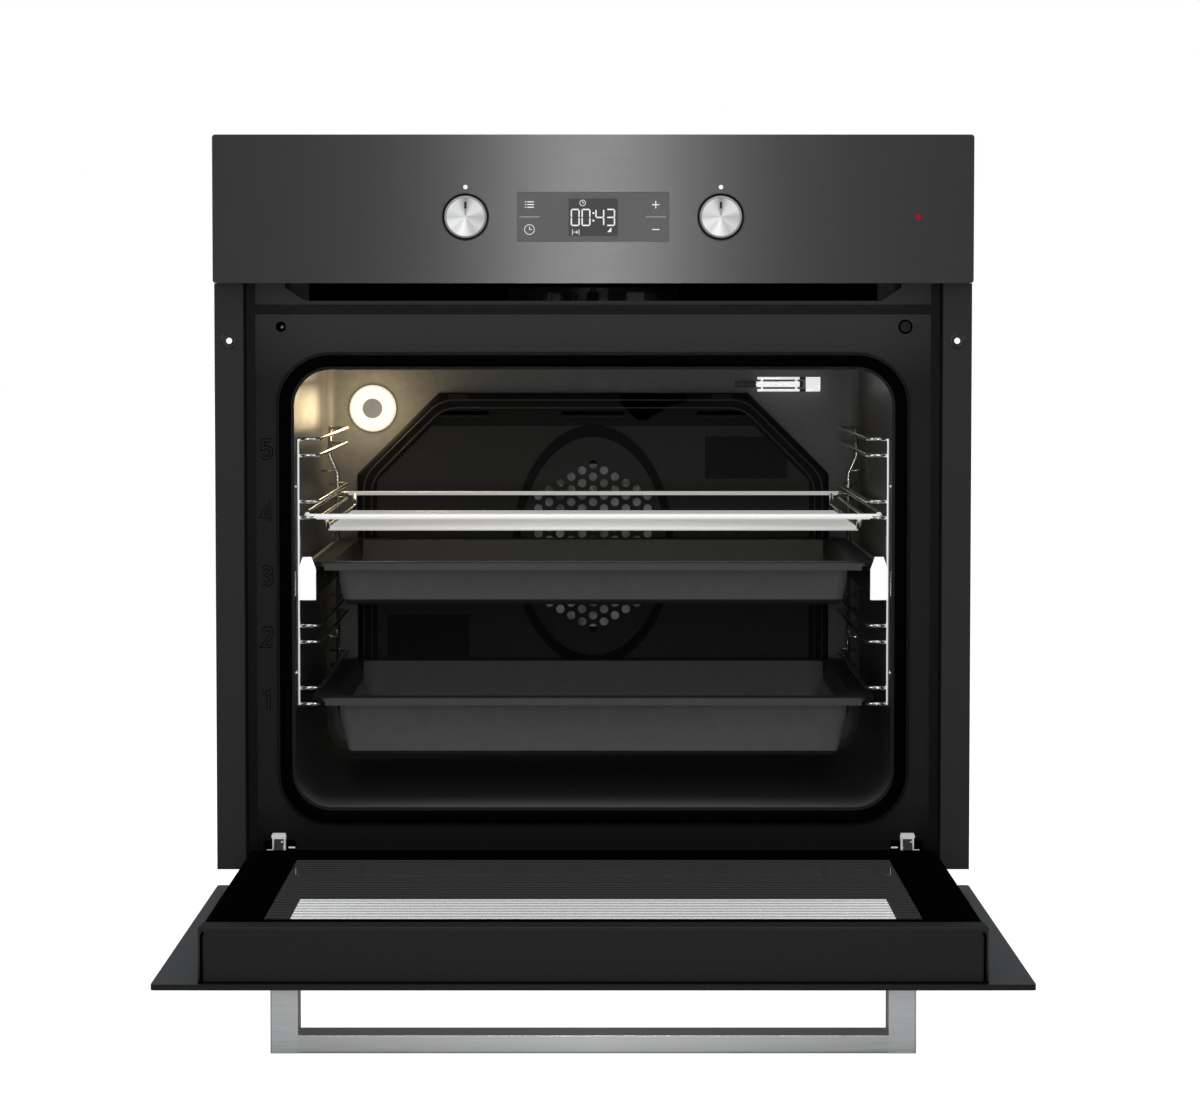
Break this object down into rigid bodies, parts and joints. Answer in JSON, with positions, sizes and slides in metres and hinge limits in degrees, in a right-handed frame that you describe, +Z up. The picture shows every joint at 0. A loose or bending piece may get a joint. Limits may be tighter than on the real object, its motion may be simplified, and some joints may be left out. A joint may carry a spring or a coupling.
{
  "type": "wall oven",
  "caption": "Built-in wall oven with a drop-down glass door, pop-out knobs, wire racks, runners, trays and a fan baffle.",
  "frame": {"origin": "centre of the chassis base face, which stands on the cabinet shelf", "axes": "+X right seen from the front, +Y to the rear, +Z up; the open door points along -Y"},
  "size_m": [0.594, 1.0265, 0.6425],
  "materials": {
    "galvanised": "satin zinc-coated sheet",
    "steel": "plain bright screw steel",
    "motor_steel": "matt",
    "element_steel": "dark heat-tinted tube",
    "hinge_steel": "dark phosphated, slightly oily",
    "chrome": "bright plated wire",
    "runner_steel": "satin",
    "handle_steel": "satin, brushed lengthwise",
    "panel_steel": "dark satin stainless, brushed lengthwise",
    "knob_metal": "turned face with a bright edge",
    "black_plastic": "moulded",
    "cap_plastic": "moulded, satin",
    "seal_rubber": "dull",
    "grey_enamel": "dark grey satin enamel",
    "black_metal": "black satin",
    "cavity_enamel": "dark grey vitreous enamel, smooth",
    "tray_enamel": "black vitreous enamel",
    "mineral_wool": "loose mineral fibre",
    "display_glass": "smoked, polished",
    "red_lens": "red translucent",
    "lamp_glass": "pressed, lit from behind",
    "outer_glass": "printed black outside a clear window",
    "inner_glass": "printed border, fine printed lines over the window",
    "clear_glass": "clear, polished"
  },
  "bodies": {
    "chassis": {"base_panel": "galvanised", "side_panels": "galvanised", "top_cover": "galvanised", "rear_cover": "galvanised", "terminal_block": "black_plastic", "front_frame": "grey_enamel", "frame_screw": "hinge_steel", "frame_plug": "grey_enamel", "left_trim": "grey_enamel", "right_trim": "grey_enamel", "cavity_shell": "cavity_enamel", "door_seal": "seal_rubber", "fan_baffle": "cavity_enamel", "fan_motor": "motor_steel", "grill_element": "element_steel", "bottom_element": "element_steel", "lamp_lens": "lamp_glass", "lamp_housing": "galvanised", "thermostat_sensor": "chrome", "left_rack": "chrome", "right_rack": "chrome", "runner_rails": "chrome", "control_panel": "panel_steel", "panel_carrier": "galvanised", "display_window": "display_glass", "display_module": "black_plastic", "indicator_lens": "red_lens", "knob_wells": "black_plastic", "function_switch": "black_plastic", "temperature_switch": "black_plastic", "insulation": "mineral_wool", "cooling_duct": "black_metal", "blower_housing": "galvanised", "blower_motor": "motor_steel", "hinge_receivers": "galvanised", "hinge_arms": "hinge_steel", "hinge_pins": "steel"},
    "door": {"door_outer_glass": "outer_glass", "door_columns": "black_metal", "door_bottom_rail": "black_metal", "door_top_cap": "cap_plastic", "door_middle_glass": "clear_glass", "door_inner_glass": "inner_glass", "hinge_cases": "hinge_steel", "handle_bar": "handle_steel", "handle_posts": "handle_steel"},
    "left_latch": {"left_hinge_latch": "chrome"},
    "right_latch": {"right_hinge_latch": "chrome"},
    "function_plunger": {"function_knob_sleeve": "black_plastic"},
    "function_dial": {"function_knob": "knob_metal"},
    "temperature_plunger": {"temperature_knob_sleeve": "black_plastic"},
    "temperature_dial": {"temperature_knob": "knob_metal"},
    "fan": {"convection_fan": "galvanised"},
    "blower_wheel": {"blower_impeller": "galvanised"},
    "shelf": {"wire_shelf": "chrome"},
    "runner_carriage": {"shallow_tray": "tray_enamel", "runner_sliders": "runner_steel"},
    "roasting_tray": {"deep_tray": "tray_enamel"}
  },
  "joints": [
    {"name": "door_swing", "type": "hinge", "parent": "chassis", "child": "door", "pos_m": [0, -0.287, -0.009], "axis": [-1, 0, 0], "range_deg": [0, 90]},
    {"name": "left_latch_flip", "type": "hinge", "parent": "chassis", "child": "left_latch", "pos_m": [-0.25, -0.259, 0.014], "axis": [-1, 0, 0], "range_deg": [-60, 0]},
    {"name": "right_latch_flip", "type": "hinge", "parent": "chassis", "child": "right_latch", "pos_m": [0.25, -0.259, 0.014], "axis": [-1, 0, 0], "range_deg": [-60, 0]},
    {"name": "function_knob_push", "type": "slide", "parent": "chassis", "child": "function_plunger", "axis": [0, 1, 0], "range_m": [-0.02, 0]},
    {"name": "function_knob_turn", "type": "hinge", "parent": "function_plunger", "child": "function_dial", "pos_m": [-0.0996, -0.287, 0.5135], "axis": [0, 1, 0], "continuous": true},
    {"name": "temperature_knob_push", "type": "slide", "parent": "chassis", "child": "temperature_plunger", "axis": [0, 1, 0], "range_m": [-0.02, 0]},
    {"name": "temperature_knob_turn", "type": "hinge", "parent": "temperature_plunger", "child": "temperature_dial", "pos_m": [0.0996, -0.287, 0.5135], "axis": [0, 1, 0], "range_deg": [0, 285]},
    {"name": "convection_fan_spin", "type": "hinge", "parent": "chassis", "child": "fan", "pos_m": [0, 0.19, 0.231], "axis": [0, 1, 0], "continuous": true},
    {"name": "cooling_blower_spin", "type": "hinge", "parent": "chassis", "child": "blower_wheel", "pos_m": [0, 0.13, 0.45], "axis": [0, 0, 1], "continuous": true},
    {"name": "wire_shelf_slide", "type": "slide", "parent": "chassis", "child": "shelf", "axis": [0, 1, 0], "range_m": [-0.3, 0]},
    {"name": "runner_slide", "type": "slide", "parent": "chassis", "child": "runner_carriage", "axis": [0, 1, 0], "range_m": [-0.3, 0]},
    {"name": "deep_tray_slide", "type": "slide", "parent": "chassis", "child": "roasting_tray", "axis": [0, 1, 0], "range_m": [-0.3, 0]}
  ]
}
